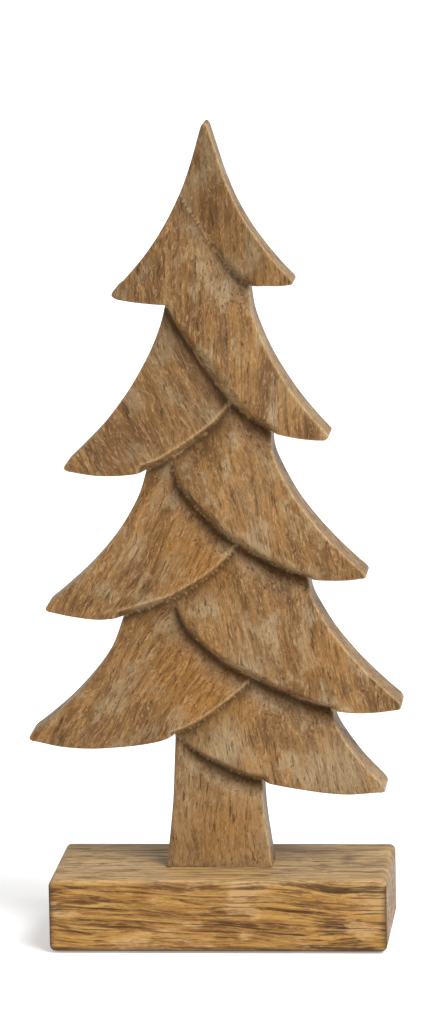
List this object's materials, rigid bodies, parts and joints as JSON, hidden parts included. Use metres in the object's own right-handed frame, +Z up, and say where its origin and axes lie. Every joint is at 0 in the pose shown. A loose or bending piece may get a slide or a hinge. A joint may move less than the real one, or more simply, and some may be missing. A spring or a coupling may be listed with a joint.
{
  "type": "carved tree figure",
  "caption": "Flat wooden fir tree with overlapping boughs carved in deep relief on its face, standing on a plain wooden block.",
  "frame": {"origin": "on the surface it stands on, under the middle of the block", "axes": "+Z up, X along the block and across the tree, -Y out of the carved face"},
  "size_m": [0.1774, 0.08, 0.3908],
  "materials": {
    "carved_wood": "satin oiled, with darker creases",
    "block_wood": "satin oiled",
    "screw_steel": "zinc plated",
    "pad_felt": "brown felt"
  },
  "bodies": {
    "root": {"tree": "carved_wood", "base_block": "block_wood", "screw_left": "screw_steel", "screw_right": "screw_steel", "pad_front_left": "pad_felt", "pad_front_right": "pad_felt", "pad_back_left": "pad_felt", "pad_back_right": "pad_felt"}
  },
  "joints": []
}
